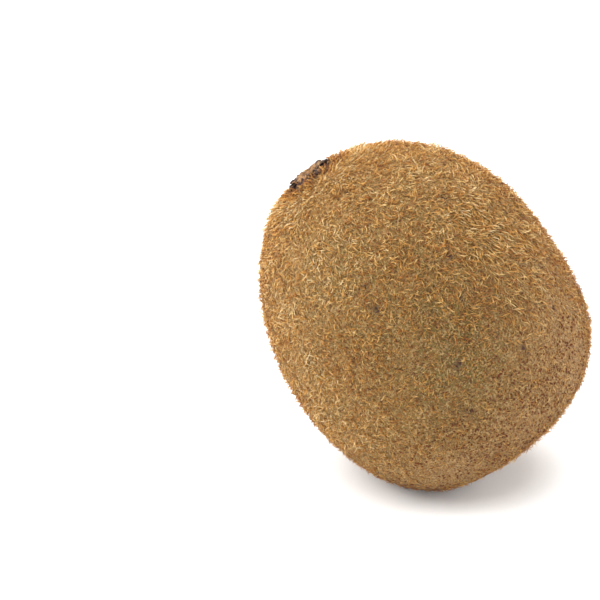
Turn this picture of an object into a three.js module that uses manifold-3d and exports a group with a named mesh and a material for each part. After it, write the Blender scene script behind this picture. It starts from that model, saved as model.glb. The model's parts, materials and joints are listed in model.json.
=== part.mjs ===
// Kiwi fruit resting on the rounded shoulder beside its blossom end. The fruit grew as one piece,
// so it is one solid: the body, the corky pad with its stalk scar and five dried sepals at the
// stem end, and the dried styles in the dimple at the blossom end. Lengths are millimetres, +Z is
// up, and the origin is the middle of the small flat spot that the fruit rests on.

import * as THREE from 'three';
import { mergeVertices } from 'three/addons/utils/BufferGeometryUtils.js';
import Module from 'manifold-3d';

const { clamp, degToRad, lerp, smoothstep } = THREE.MathUtils;

// Body, measured on the skin under the hair
const HALF_WIDTH = 27.0; // from the axis, in the upright plane that holds the axis
const HALF_DEPTH = 26.2; // from the axis, the other way, since the fruit is slightly flattened
const STEM_REACH = 33.4; // from the widest ring to the stem end
const BLOSSOM_REACH = 29.7; // from the widest ring to the blossom end
const STEM_BLUNTNESS = 2.06; // exponent of the outline, where 2 is an ellipse
const BLOSSOM_BLUNTNESS = 2.66; // a blunter end
const CENTRE_LINE = [1.0, 1.25, 3.3]; // how far the rings sit off the axis, by powers of the station
const LUMPS = [ // low swellings: height, how many go round, turn, and turn along the fruit
  { height: 0.16, count: 2, turn: 0.2, twist: 2.1 },
  { height: 0.13, count: 3, turn: 3.2, twist: -1.4 },
  { height: 0.09, count: 5, turn: 4.0, twist: 3.0 },
];
const SEGMENTS = 64; // round the fruit
const STEM_RINGS = 22;
const BLOSSOM_RINGS = 21;
const RING_CROWDING = 1.7; // above 1 crowds the rings towards the two ends

// How the fruit rests
const LEAN = degToRad(52.2); // of the axis above the table, stem end up
const MIDDLE = new THREE.Vector3(-1.8, 0, 29.76); // middle of the widest ring above the flat spot

// Stem end
const PAD_RADIUS = 5.4; // corky pad that the sepals lie on
const PAD_HEIGHT = 0.3;
const PAD_RIM = 1.5; // width of its sloping rim
const MOAT_DEPTH = 0.25; // puckered skin round the pad
const MOAT_WIDTH = 1.1;
const SEPAL_COUNT = 5;
const SEPAL_TURN = 0.35; // of the first sepal round the axis
const SEPAL_SHUFFLE = 0.3; // how unevenly they are spaced, as a share of the space between them
const SEPAL_LENGTHS = [3.74, 5.06]; // shortest and longest
const SEPAL_WIDTH = 4.7;
const SEPAL_THICKNESS = 0.65;
const SEPAL_ROOT = 1.5; // from the axis
const SEPAL_ROOT_LIFT = -0.3; // the root is sunk into the pad
const SEPAL_TIP_LIFTS = [0.12, 0.28]; // lowest and highest
const SEPAL_LIFT_POWER = 1.4; // above 1 keeps the lift near the tip
const SEPAL_CUP = 0.3; // how far the edges bend down
const SEPAL_OVATE = { start: 0.2, span: 0.68, power: 0.7 }; // part of a half wave that its width follows
const SEPAL_CORNERS = 0.18; // how far its corners draw back, as a share of the length
const SEPAL_WAVES = { height: 0.12, along: 9, next: 4, across: 2 }; // uneven edge
const SEPAL_STEPS = [8, 6]; // along and across
const SCAR_RADIUS = 1.9; // where the stalk broke off
const SCAR_HEIGHT = 0.5;
const SCAR_HOLLOW = 0.5;
const SCAR_ROOT = 1.2; // how deep it is sunk
const SCAR_SHOULDER = 0.6; // where its rim starts to round, as a share of the height
const SCAR_CREST = 0.8; // where the rim is highest, as a share of the radius
const SCAR_FLOOR = 0.5; // where the hollow is deepest, as a share of the radius
const SCAR_RAGGED = [ // broken edge, as shares of the radius
  { height: 0.1, count: 3, turn: 1 },
  { height: 0.06, count: 7, turn: 0 },
];
const SCAR_SEGMENTS = 20;

// Blossom end
const DIMPLE_RADIUS = 7.5;
const DIMPLE_DEPTH = 0.9;
const NUB_RADIUS = 2.8;
const NUB_HEIGHT = 0.8;
const NUB_CREST = 0.93; // radius of its flat top
const DIMPLE_FLOOR = 1.4; // radius inside which the dimple has its full depth
const STYLE_RINGS = [ // dried styles: how many, how far from the axis, how far they lean out
  { count: 9, radius: 1.55, lean: 0.85 },
  { count: 4, radius: 0.6, lean: 0.35 },
];
const STYLE_LENGTHS = [1.52, 2.185]; // shortest and longest
const STYLE_ROOT = 0.9; // of that length, sunk in the nub
const STYLE_RADIUS = 0.36;
const STYLE_TAPER = 0.85; // radius of the tip, as a share of the root's
const STYLE_SHUFFLE = 0.4; // how unevenly they are spaced, as a share of the space between them
const STYLE_LEANS = [0.85, 1.15]; // least and most, as shares of the ring's lean
const STYLE_SIDES = 5;

const SKIN_BROWN = 0x9a7645;

const TABLE_SIZE = 134; // larger than the fruit
const CORNER_MERGE = 1e-5; // corners closer than this are one
const SCATTER = [12.9898, 78.233, 43758.5453]; // steps of the scatter, uneven so that none repeats

const wasm = await Module();
wasm.setup();

// Repeatable numbers from 0 to 1 for what grew unevenly
function scatter(index, salt) {
  const [indexStep, saltStep, height] = SCATTER;
  const wave = Math.sin(index * indexStep + salt * saltStep) * height;
  return wave - Math.floor(wave);
}

// A repeatable number between the least and the most of a range
function uneven([least, most], index, salt) {
  return lerp(least, most, scatter(index, salt));
}

// Radius of a blunt ellipse at a station from 0, the widest ring, to 1, the tip, both as shares
function share(station, bluntness) {
  return (1 - station ** bluntness) ** (1 / bluntness);
}

// Height of the smooth body along its axis at a distance from the axis near one end
function endHeight(distance, reach, bluntness) {
  return reach * share(clamp(distance / HALF_WIDTH, 0, 1), bluntness);
}

// Raised corky pad and the pucker round it, at a distance from the axis
function padRelief(distance) {
  const pad = PAD_HEIGHT * (1 - smoothstep(distance, PAD_RADIUS - PAD_RIM, PAD_RADIUS));
  const moat = MOAT_DEPTH * Math.exp(-(((distance - PAD_RADIUS - MOAT_WIDTH) / MOAT_WIDTH) ** 2));
  return pad - moat;
}

// Dimple of the blossom end with the nub in its middle
function dimpleRelief(distance) {
  const dimple = DIMPLE_DEPTH * (1 - smoothstep(distance, DIMPLE_FLOOR, DIMPLE_RADIUS));
  const nub = NUB_HEIGHT * (1 - smoothstep(distance, NUB_CREST, NUB_RADIUS));
  return nub - dimple;
}

// Swelling of the skin at an angle round the axis and a station from -1 to 1
function swelling(angle, station) {
  const waves = LUMPS.map(({ height, count, turn, twist }) =>
    height * Math.cos(count * angle + turn + twist * station));
  return waves.reduce((sum, wave) => sum + wave, 0) * (1 - station ** 2);
}

// One end's half of the outline as stations from the tip, 1, to the widest ring, 0
function stations(rings, bluntness) {
  return Array.from({ length: rings + 1 }, (_, ring) => {
    const polar = (Math.PI / 2) * (ring / rings) ** RING_CROWDING;
    return Math.cos(polar) ** (2 / bluntness);
  });
}

// The body with its axis along Y, the blossom end down. Z is its width and X its depth.
function bodyGeometry() {
  const down = stations(BLOSSOM_RINGS, BLOSSOM_BLUNTNESS).map((station) => -station);
  const up = stations(STEM_RINGS, STEM_BLUNTNESS).reverse().slice(1);
  const profile = [...down, ...up].map((station) => {
    const bluntness = station < 0 ? BLOSSOM_BLUNTNESS : STEM_BLUNTNESS;
    return new THREE.Vector2(share(Math.abs(station), bluntness), station);
  });
  const geometry = new THREE.LatheGeometry(profile, SEGMENTS);
  const places = geometry.attributes.position;
  for (let i = 0; i < places.count; i += 1) {
    const station = places.getY(i);
    const radius = Math.hypot(places.getX(i), places.getZ(i));
    const angle = Math.atan2(places.getX(i), places.getZ(i));
    const swell = 1 + swelling(angle, station) / HALF_WIDTH;
    const [still, slope, curve] = CENTRE_LINE;
    const offset = (still + slope * station + curve * station ** 2) * (1 - station ** 2);
    const distance = radius * HALF_WIDTH;
    const height = station > 0
      ? station * STEM_REACH + padRelief(distance)
      : station * BLOSSOM_REACH - dimpleRelief(distance);
    places.setXYZ(
      i,
      radius * HALF_DEPTH * swell * Math.sin(angle),
      height,
      radius * HALF_WIDTH * swell * Math.cos(angle) + offset,
    );
  }
  return geometry;
}

// A dried sepal: an ovate scale with a waved edge that lies on the pad and lifts at its tip
function sepalGeometry(index) {
  const [along, across] = SEPAL_STEPS;
  const length = uneven(SEPAL_LENGTHS, index, 1);
  const place = index + SEPAL_SHUFFLE * (scatter(index, 2) - 0.5);
  const turn = SEPAL_TURN + (place / SEPAL_COUNT) * 2 * Math.PI;
  const tipLift = uneven(SEPAL_TIP_LIFTS, index, 3);
  const { start, span, power } = SEPAL_OVATE;
  const geometry = new THREE.BoxGeometry(1, 1, SEPAL_THICKNESS, along, across, 1);
  const places = geometry.attributes.position;
  for (let i = 0; i < places.count; i += 1) {
    const out = places.getX(i) + 0.5;
    const side = places.getY(i) * 2;
    const phase = SEPAL_WAVES.along * out + SEPAL_WAVES.next * index + SEPAL_WAVES.across * side;
    const wave = 1 + SEPAL_WAVES.height * Math.sin(phase);
    const half = (SEPAL_WIDTH / 2) * Math.sin(Math.PI * (start + span * out)) ** power * wave;
    const distance = SEPAL_ROOT + length * out * (1 - SEPAL_CORNERS * side ** 2);
    const rise = lerp(SEPAL_ROOT_LIFT, tipLift, out ** SEPAL_LIFT_POWER);
    const lift = rise - SEPAL_CUP * side ** 2;
    const width = distance * Math.cos(turn) - side * half * Math.sin(turn);
    const depth = distance * Math.sin(turn) + side * half * Math.cos(turn);
    const surface = endHeight(Math.hypot(width, depth), STEM_REACH, STEM_BLUNTNESS) + PAD_HEIGHT;
    places.setXYZ(i, depth, surface + lift + places.getZ(i), width);
  }
  return geometry;
}

// The stalk scar: a low broken ring with a hollow middle
function scarGeometry() {
  const top = STEM_REACH + PAD_HEIGHT;
  const profile = [
    new THREE.Vector2(0, top - SCAR_ROOT),
    new THREE.Vector2(SCAR_RADIUS, top - SCAR_ROOT),
    new THREE.Vector2(SCAR_RADIUS, top + SCAR_HEIGHT * SCAR_SHOULDER),
    new THREE.Vector2(SCAR_RADIUS * SCAR_CREST, top + SCAR_HEIGHT),
    new THREE.Vector2(SCAR_RADIUS * SCAR_FLOOR, top + SCAR_HEIGHT - SCAR_HOLLOW),
    new THREE.Vector2(0, top + SCAR_HEIGHT - SCAR_HOLLOW),
  ];
  const geometry = new THREE.LatheGeometry(profile, SCAR_SEGMENTS);
  const places = geometry.attributes.position;
  for (let i = 0; i < places.count; i += 1) {
    const angle = Math.atan2(places.getX(i), places.getZ(i));
    const waves = SCAR_RAGGED.map(({ height, count, turn }) => height * Math.sin(count * angle + turn));
    const ragged = waves.reduce((sum, wave) => sum + wave, 1);
    places.setX(i, places.getX(i) * ragged);
    places.setZ(i, places.getZ(i) * ragged);
  }
  return geometry;
}

// One dried style, rooted in the nub of the blossom end and leaning outwards
function styleGeometry({ count, radius, lean }, index) {
  const turn = ((index + STYLE_SHUFFLE * scatter(index, radius)) / count) * 2 * Math.PI;
  const length = uneven(STYLE_LENGTHS, index, radius + 1);
  const tip = STYLE_RADIUS * STYLE_TAPER;
  const geometry = new THREE.CylinderGeometry(STYLE_RADIUS, tip, length, STYLE_SIDES, 1);
  geometry.translate(0, STYLE_ROOT - length / 2, 0);
  geometry.rotateX(-lean * uneven(STYLE_LEANS, index, radius + 2));
  geometry.translate(0, 0, radius);
  geometry.rotateY(turn);
  geometry.translate(0, DIMPLE_DEPTH - NUB_HEIGHT - BLOSSOM_REACH, 0);
  return geometry;
}

// Turns the fruit's own axes to how it rests: its axis leans towards -X
function restPlacement() {
  const axis = new THREE.Vector3(-Math.cos(LEAN), 0, Math.sin(LEAN));
  const width = new THREE.Vector3(Math.sin(LEAN), 0, Math.cos(LEAN));
  const depth = new THREE.Vector3(0, 1, 0);
  return new THREE.Matrix4().makeBasis(depth, axis, width).setPosition(MIDDLE);
}

// The space under the table's surface, which the resting spot is pressed flat against
function tableGeometry() {
  return new THREE.BoxGeometry(TABLE_SIZE, TABLE_SIZE, TABLE_SIZE).translate(0, 0, -TABLE_SIZE / 2);
}

// A closed geometry as a solid, its shared corners merged and its faces of no area left out
function solid(geometry) {
  geometry.deleteAttribute('normal');
  geometry.deleteAttribute('uv');
  const merged = mergeVertices(geometry, CORNER_MERGE);
  const corners = merged.index.array;
  const kept = [];
  for (let i = 0; i < corners.length; i += 3) {
    const [a, b, c] = corners.slice(i, i + 3);
    if (a !== b && b !== c && c !== a) kept.push(a, b, c);
  }
  return new wasm.Manifold(new wasm.Mesh({
    numProp: 3,
    vertProperties: new Float32Array(merged.attributes.position.array),
    triVerts: new Uint32Array(kept),
  }));
}

// A solid as a geometry
function surfaceOf(manifold) {
  const { vertProperties, triVerts } = manifold.getMesh();
  const geometry = new THREE.BufferGeometry();
  geometry.setAttribute('position', new THREE.BufferAttribute(vertProperties, 3));
  geometry.setIndex(new THREE.BufferAttribute(triVerts, 1));
  geometry.computeVertexNormals();
  return geometry;
}

function fruitMesh() {
  const sepals = Array.from({ length: SEPAL_COUNT }, (_, index) => sepalGeometry(index));
  const styles = STYLE_RINGS.flatMap((ring) =>
    Array.from({ length: ring.count }, (_, index) => styleGeometry(ring, index)));
  const placement = restPlacement();
  const grown = [bodyGeometry(), scarGeometry(), ...sepals, ...styles]
    .map((geometry) => solid(geometry.applyMatrix4(placement)))
    .reduce((fruit, piece) => fruit.add(piece));
  const resting = grown.subtract(solid(tableGeometry()));
  const skin = new THREE.MeshStandardMaterial({
    color: SKIN_BROWN,
    roughness: 0.95,
    metalness: 0,
  });
  const mesh = new THREE.Mesh(surfaceOf(resting), skin);
  mesh.name = 'kiwi_fruit';
  return mesh;
}

const kiwiFruit = new THREE.Group();
kiwiFruit.add(fruitMesh());

export default kiwiFruit;
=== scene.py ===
import json
import logging
import math
from collections.abc import Sequence
from dataclasses import dataclass, field
from enum import Enum
from typing import Any

import bpy
import numpy as np
from mathutils import Matrix, Vector, noise

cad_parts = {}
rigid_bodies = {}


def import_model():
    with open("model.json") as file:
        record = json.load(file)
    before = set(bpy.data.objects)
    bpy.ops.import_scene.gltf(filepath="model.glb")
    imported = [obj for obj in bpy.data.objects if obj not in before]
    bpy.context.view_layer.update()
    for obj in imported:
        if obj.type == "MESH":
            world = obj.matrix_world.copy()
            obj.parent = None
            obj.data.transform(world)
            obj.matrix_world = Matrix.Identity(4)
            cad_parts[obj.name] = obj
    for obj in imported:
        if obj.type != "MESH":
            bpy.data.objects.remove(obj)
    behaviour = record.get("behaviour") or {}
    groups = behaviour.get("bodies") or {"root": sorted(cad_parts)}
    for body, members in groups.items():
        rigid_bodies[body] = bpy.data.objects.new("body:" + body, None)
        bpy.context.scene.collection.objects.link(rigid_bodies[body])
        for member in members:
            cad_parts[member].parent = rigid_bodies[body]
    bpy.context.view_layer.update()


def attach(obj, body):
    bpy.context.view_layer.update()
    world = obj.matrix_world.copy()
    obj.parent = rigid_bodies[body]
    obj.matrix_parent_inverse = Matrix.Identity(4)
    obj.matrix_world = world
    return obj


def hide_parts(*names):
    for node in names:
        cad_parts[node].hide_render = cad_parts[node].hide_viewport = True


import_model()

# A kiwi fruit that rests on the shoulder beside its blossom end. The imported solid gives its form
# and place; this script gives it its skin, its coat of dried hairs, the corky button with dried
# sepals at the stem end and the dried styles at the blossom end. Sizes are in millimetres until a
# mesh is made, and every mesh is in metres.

MM = 0.001
MAP = "OFBake"
STRAND_VALUES = ("along", "side", "hair_tint")
LOG = logging.getLogger("kiwi_fruit")


def linear(colour: str) -> tuple[float, float, float, float]:
    """Turns an sRGB hex value into linear red, green, blue and an opacity of 1.

    Args:
        colour: six hex digits after a hash.

    Returns:
        The four linear values.
    """
    shares = [int(colour[i:i + 2], 16) / 255 for i in (1, 3, 5)]
    red, green, blue = (c / 12.92 if c <= 0.04045 else ((c + 0.055) / 1.055) ** 2.4 for c in shares)
    return red, green, blue, 1.0


def feed(node: bpy.types.Node, feeds: dict[Any, Any]) -> None:
    """Links or sets the inputs of a node.

    Args:
        node: the node.
        feeds: by socket name or number, an output, a node whose first output is meant, or a value.
    """
    for socket, value in feeds.items():
        if isinstance(value, bpy.types.Node):
            value = value.outputs[0]
        if isinstance(value, bpy.types.NodeSocket):
            node.id_data.links.new(value, node.inputs[socket])
        else:
            node.inputs[socket].default_value = value


def add(
    tree: bpy.types.NodeTree,
    kind: str,
    feeds: dict[Any, Any] | None = None,
    stops: Sequence[tuple[float, str]] = (),
    **settings: Any,
) -> bpy.types.Node:
    """Adds a node with its settings and what feeds it.

    Args:
        tree: the tree that gets the node.
        kind: the node's type.
        feeds: what its inputs get, as in feed.
        stops: places and sRGB colours of a colour ramp.
        settings: the node's own properties.

    Returns:
        The new node.
    """
    node = tree.nodes.new(kind)
    for name, value in settings.items():
        setattr(node, name, value)
    feed(node, feeds or {})
    for index, (place, colour) in enumerate(stops):
        if index >= len(node.color_ramp.elements):
            node.color_ramp.elements.new(place)
        node.color_ramp.elements[index].position = place
        node.color_ramp.elements[index].color = linear(colour)
    return node


def blank(name: str) -> tuple[bpy.types.Material, bpy.types.NodeTree, bpy.types.Node]:
    """Starts a finish.

    Args:
        name: the material's name.

    Returns:
        The material, its tree and the shader in it.
    """
    made = bpy.data.materials.new(name)
    made.use_nodes = True
    return made, made.node_tree, made.node_tree.nodes["Principled BSDF"]


def smooth_step(values: np.ndarray, low: float, high: float) -> np.ndarray:
    """Rises smoothly from 0 at low to 1 at high."""
    share = np.clip((values - low) / (high - low), 0, 1)
    return share * share * (3 - 2 * share)


def hump(values: np.ndarray, middle: float, width: float) -> np.ndarray:
    """Is 1 at the middle and falls away over the width on both sides."""
    return np.exp(-(((values - middle) / width) ** 2))


def grain(places: np.ndarray, size: float, shift: float = 0.0) -> np.ndarray:
    """Uneven values from about -1 to 1 over space.

    Args:
        places: points in millimetres, three to a row.
        size: how large the unevenness is, in millimetres.
        shift: moves the pattern, so that two of them differ.

    Returns:
        One value for each point.
    """
    flat = places.reshape(-1, 3) / size + shift
    values = np.array([noise.noise(Vector(p)) for p in flat])
    return values.reshape(places.shape[:-1])


def fissures(places: np.ndarray, size: float) -> np.ndarray:
    """How far each point is from the nearest border between two lumps, from 0.

    Args:
        places: points in millimetres, three to a row.
        size: how large the lumps are, in millimetres.

    Returns:
        The distance as a share of the lumps' size.
    """
    near = [noise.voronoi(Vector(p))[0] for p in places.reshape(-1, 3) / size]
    return np.array([d[1] - d[0] for d in near]).reshape(places.shape[:-1])


@dataclass
class Shell:
    """Points and faces of a closed surface, gathered before they become a mesh."""

    places: list[np.ndarray] = field(default_factory=list)
    faces: list[tuple[int, ...]] = field(default_factory=list)
    shades: dict[str, list[np.ndarray]] = field(default_factory=dict)

    def extend(
        self,
        places: np.ndarray,
        faces: Sequence[tuple[int, ...]],
        **shades: np.ndarray,
    ) -> None:
        """Adds a part's points, faces and shades, one value to a point.

        Args:
            places: the part's points.
            faces: its faces by the numbers of its own points.
            shades: values by the name of their attribute.
        """
        start = sum(len(p) for p in self.places)
        self.places.append(places)
        self.faces.extend(tuple(start + corner for corner in face) for face in faces)
        for name, values in shades.items():
            self.shades.setdefault(name, []).append(values)

    def piece(self, name: str) -> bpy.types.Object:
        """Makes the piece's mesh, in metres, and its object at the origin.

        Args:
            name: the piece's name.

        Returns:
            The object, linked to the scene.
        """
        mesh = bpy.data.meshes.new(name)
        mesh.from_pydata((np.concatenate(self.places) * MM).tolist(), [], self.faces)
        mesh.update()
        for shade, values in self.shades.items():
            attribute = mesh.attributes.new(shade, "FLOAT", "POINT")
            attribute.data.foreach_set("value", np.concatenate(values).astype(np.float32))
        mesh.polygons.foreach_set("use_smooth", [True] * len(mesh.polygons))
        thing = bpy.data.objects.new(name, mesh)
        bpy.context.scene.collection.objects.link(thing)
        return thing


def grid_faces(rows: int, columns: int, start: int = 0) -> list[tuple[int, ...]]:
    """Faces between rings of points, each ring closed on itself.

    Args:
        rows: how many rings.
        columns: how many points in a ring.
        start: the number of the first point.

    Returns:
        Four-cornered faces.
    """
    at = start + np.arange(rows * columns).reshape(rows, columns)
    beside = np.roll(at, -1, axis=1)
    quads = np.stack([at[:-1], beside[:-1], beside[1:], at[1:]], -1)
    return [tuple(q) for q in quads.reshape(-1, 4).tolist()]


def capped(rings: np.ndarray) -> tuple[np.ndarray, list[tuple[int, ...]]]:
    """Closes a tube of rings with a point at each end.

    Args:
        rings: ring by ring, their points, going round as seen from the last ring inwards.

    Returns:
        The points with the two ends last, and the faces.
    """
    rows, columns = rings.shape[:2]
    first, last = rows * columns, rows * columns + 1
    places = np.concatenate([rings.reshape(-1, 3), [rings[0].mean(0)], [rings[-1].mean(0)]])
    faces = grid_faces(rows, columns)
    for i in range(columns):
        j = (i + 1) % columns
        faces.append((first, j, i))
        faces.append((last, first - columns + i, first - columns + j))
    return places, faces


def strip(mesh: bpy.types.Mesh, names: Sequence[str]) -> None:
    """Takes named values that only the growing needed off a mesh."""
    for name in names:
        if name in mesh.attributes:
            mesh.attributes.remove(mesh.attributes[name])


def ride(piece: bpy.types.Object, material: bpy.types.Material) -> None:
    """Dresses a finished piece, and declares what carries it.

    Args:
        piece: the piece.
        material: its finish.
    """
    piece.data.materials.clear()
    piece.data.materials.append(material)
    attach(piece, "root")
    piece.data.calc_loop_triangles()
    LOG.info("%s: %d triangles", piece.name, len(piece.data.loop_triangles))


@dataclass(frozen=True)
class FruitForm:
    """The fruit's outer form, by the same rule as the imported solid's, in millimetres."""

    half_width: float = 27.0
    half_depth: float = 26.2
    stem_reach: float = 33.4
    blossom_reach: float = 29.7
    stem_bluntness: float = 2.06
    blossom_bluntness: float = 2.66
    centre_line: tuple[float, float, float] = (1.0, 1.25, 3.3)
    lumps: tuple[tuple[float, float, float, float], ...] = (
        (0.16, 2, 0.2, 2.1),
        (0.13, 3, 3.2, -1.4),
        (0.09, 5, 4.0, 3.0),
    )
    pad_radius: float = 5.4
    pad_rim: float = 1.5
    pad_height: float = 0.3
    moat_depth: float = 0.25
    moat_width: float = 1.1
    dimple_radius: float = 7.5
    dimple_floor: float = 1.4
    dimple_depth: float = 0.9
    nub_radius: float = 2.8
    nub_crest: float = 0.93
    nub_height: float = 0.8
    lean: float = 52.2
    middle: tuple[float, float, float] = (-1.8, 0.0, 29.76)

    def place(self, depth: np.ndarray, along: np.ndarray, width: np.ndarray) -> np.ndarray:
        """Turns places in the fruit's own directions to how it rests.

        Args:
            depth: from the axis, sideways.
            along: from the widest ring towards the stem end.
            width: from the axis, in the upright plane that holds the axis.

        Returns:
            Points in the frame's directions.
        """
        lean = math.radians(self.lean)
        x = width * math.sin(lean) - along * math.cos(lean)
        z = width * math.cos(lean) + along * math.sin(lean)
        return np.stack(np.broadcast_arrays(x, depth, z), -1) + np.array(self.middle)

    def share(self, station: np.ndarray) -> np.ndarray:
        """Radius of the outline at a station from -1, the blossom end, to 1, as a share."""
        blunt = np.where(station > 0, self.stem_bluntness, self.blossom_bluntness)
        return np.clip(1 - np.abs(station) ** blunt, 0, 1) ** (1 / blunt)

    def along(self, station: np.ndarray) -> np.ndarray:
        """Height along the axis at a station, with the button's pad and the dimple."""
        away = self.share(station) * self.half_width
        rim = self.pad_radius - self.pad_rim
        pad = self.pad_height * (1 - smooth_step(away, rim, self.pad_radius))
        moat = self.moat_depth * hump(away, self.pad_radius + self.moat_width, self.moat_width)
        dimple = self.dimple_depth * (1 - smooth_step(away, self.dimple_floor, self.dimple_radius))
        nub = self.nub_height * (1 - smooth_step(away, self.nub_crest, self.nub_radius))
        stem = self.stem_reach * station + pad - moat
        blossom = self.blossom_reach * station - nub + dimple
        return np.where(station > 0, stem, blossom)

    def surface(self, station: np.ndarray, angle: np.ndarray) -> np.ndarray:
        """Points of the skin.

        Args:
            station: from -1, the blossom end, to 1, the stem end.
            angle: round the axis, in radians, from the upper side.

        Returns:
            Points in millimetres, in the frame's directions.
        """
        station, angle = np.broadcast_arrays(station, angle)
        taper = 1 - station**2
        swell = sum(h * np.cos(k * angle + t + w * station) for h, k, t, w in self.lumps)
        swell = 1 + swell * taper / self.half_width
        still, slope, curve = self.centre_line
        offset = (still + slope * station + curve * station**2) * taper
        share = self.share(station) * swell
        depth = share * self.half_depth * np.sin(angle)
        width = share * self.half_width * np.cos(angle) + offset
        return self.place(depth, self.along(station), width)

    def end_height(self, away: np.ndarray) -> np.ndarray:
        """Height along the axis of the smooth stem end at a distance from the axis."""
        share = np.clip(away / self.half_width, 0, 1)
        return self.stem_reach * (1 - share**self.stem_bluntness) ** (1 / self.stem_bluntness)

    def stations(self, rings: int) -> np.ndarray:
        """Stations whose rings lie evenly far apart over the skin.

        Args:
            rings: how many, without the two ends.

        Returns:
            The stations from the blossom end.
        """
        fine = np.sin(np.linspace(-math.pi / 2, math.pi / 2, 4001))
        away = self.share(fine) * self.half_width
        along = self.along(fine)
        steps = np.hypot(np.diff(away), np.diff(along))
        walked = np.concatenate([[0], np.cumsum(steps)])
        return np.interp(np.linspace(0, walked[-1], rings + 2)[1:-1], walked, fine)


@dataclass(frozen=True)
class Patch:
    """A round area of the skin that differs from what is round it."""

    station: float
    angle: float
    radius: float
    strength: float = 1.0

    def weight(self, form: FruitForm, places: np.ndarray) -> np.ndarray:
        """How much each point belongs to the patch, from 0 to its strength.

        Args:
            form: the fruit's form.
            places: points of the skin.

        Returns:
            One value for each point.
        """
        centre = form.surface(np.array(self.station), np.array(math.radians(self.angle)))
        away = np.linalg.norm(places - centre, axis=-1)
        return self.strength * hump(away, 0.0, self.radius)


def total(patches: Sequence[Patch], form: FruitForm, places: np.ndarray) -> np.ndarray:
    """Joint weight of several patches at each point of the skin, at most 1."""
    return np.clip(sum(patch.weight(form, places) for patch in patches), 0, 1)


class Zone(str, Enum):
    """What the skin holds at each of its points, by the name of the attribute."""

    STATION = "station"
    FUZZ = "fuzz"
    TINT = "tint"
    REACH = "reach"
    COMB = "comb"
    OLIVE = "olive"
    MARK = "mark"
    BARE = "bare"
    RISE = "rise"


@dataclass(frozen=True)
class Blend:
    """A value of the skin: a plain amount, and what each thing that is there adds to it."""

    plain: float
    adds: dict[str, float]
    limits: tuple[float, float] = (0.0, 1.0)

    def value(self, there: dict[str, np.ndarray]) -> np.ndarray:
        """Works the value out at each point.

        Args:
            there: by the name of each thing, how strongly each point has it.

        Returns:
            One value for each point.
        """
        value = self.plain
        for name, weight in self.adds.items():
            value = value + weight * there[name]
        return np.clip(value, *self.limits)


TINT = Blend(
    0.51,
    {
        "golden": 0.03,
        "collar": 0.16,
        "ring": -0.3,
        "red": -0.14,
        "mark": -0.35,
        "cloud": 0.12,
        "tuft": 0.12,
        "grey": 0.13,
        "green": -0.09,
        "bald": 0.02,
        # Darker hairs near the table: painted shade on the underside
        "under": -0.2,
    },
    (0.05, 0.95),
)
REACH = Blend(
    1.0,
    {
        "collar": 0.15,
        "bald": -0.35,
        "green": -0.1,
        "mark": -0.3,
        "cloud": 0.2,
        "worn": -0.25,
        "combed": 0.2,
    },
    (0.4, 1.6),
)
BLENDS = {
    Zone.TINT: TINT,
    Zone.REACH: REACH,
    Zone.COMB: Blend(0.0, {"swept_stem": 0.9, "swept_blossom": 0.5, "combed": 0.75}),
    Zone.OLIVE: Blend(
        0.32, {"green": 0.6, "grey": 0.25, "golden": -0.3, "collar": -0.4, "cloud": 0.2}
    ),
    # Marks take the bruise colour, and near the table the same colour is painted shade on the
    # underside
    Zone.MARK: Blend(0.0, {"mark": 1.0, "button": 0.5, "under": 0.4}),
    Zone.BARE: Blend(0.0, {"bald": 0.8, "worn": 0.25}),
    Zone.RISE: Blend(0.0, {"ruffled": 1.0, "worn": -0.8, "combed": -0.5}, (-2.0, 2.0)),
}
THICKER = Blend(1.0, {"collar": 0.45, "ring": 0.7, "golden": 0.1}, (0.0, 3.0))
THINNER = {"green": -0.28, "bald": -0.45, "mark": -0.8, "tuft": 0.3, "under": -0.4}


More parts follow.
